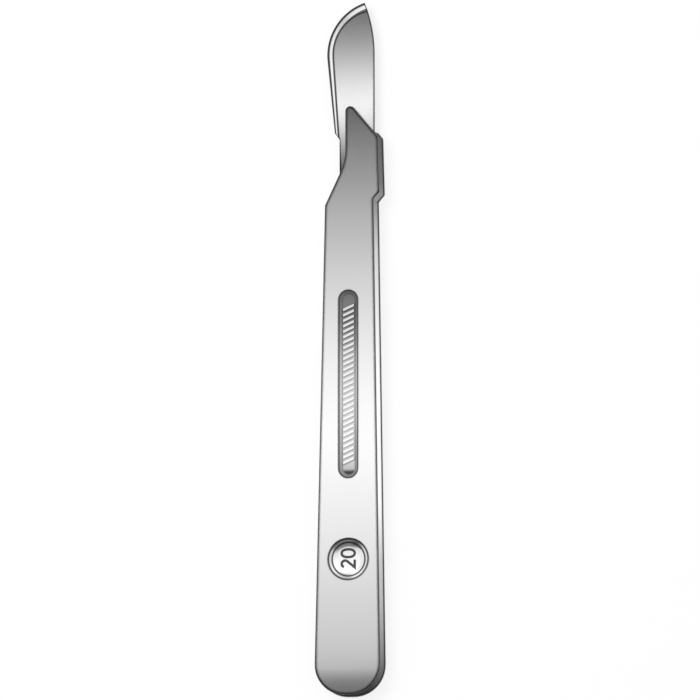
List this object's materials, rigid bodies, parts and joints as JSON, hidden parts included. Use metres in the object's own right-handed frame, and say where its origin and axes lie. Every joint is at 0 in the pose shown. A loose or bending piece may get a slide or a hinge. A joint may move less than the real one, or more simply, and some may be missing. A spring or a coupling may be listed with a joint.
{
  "type": "scalpel",
  "caption": "Flat steel scalpel handle with ribbed grip recesses and a round number dish, and a curved blade locked on its bayonet fitment.",
  "frame": {"origin": "on the surface that the scalpel lies on, below the middle of its bounding box", "axes": "+Y along the scalpel towards the blade's tip, +X towards the blade's blunt spine, +Z out of the numbered front face"},
  "size_m": [0.0144, 0.15, 0.004],
  "materials": {
    "handle_steel": "satin stainless steel",
    "blade_steel": "ground and polished stainless steel"
  },
  "bodies": {
    "root": {"handle": "handle_steel", "blade": "blade_steel"}
  },
  "joints": []
}
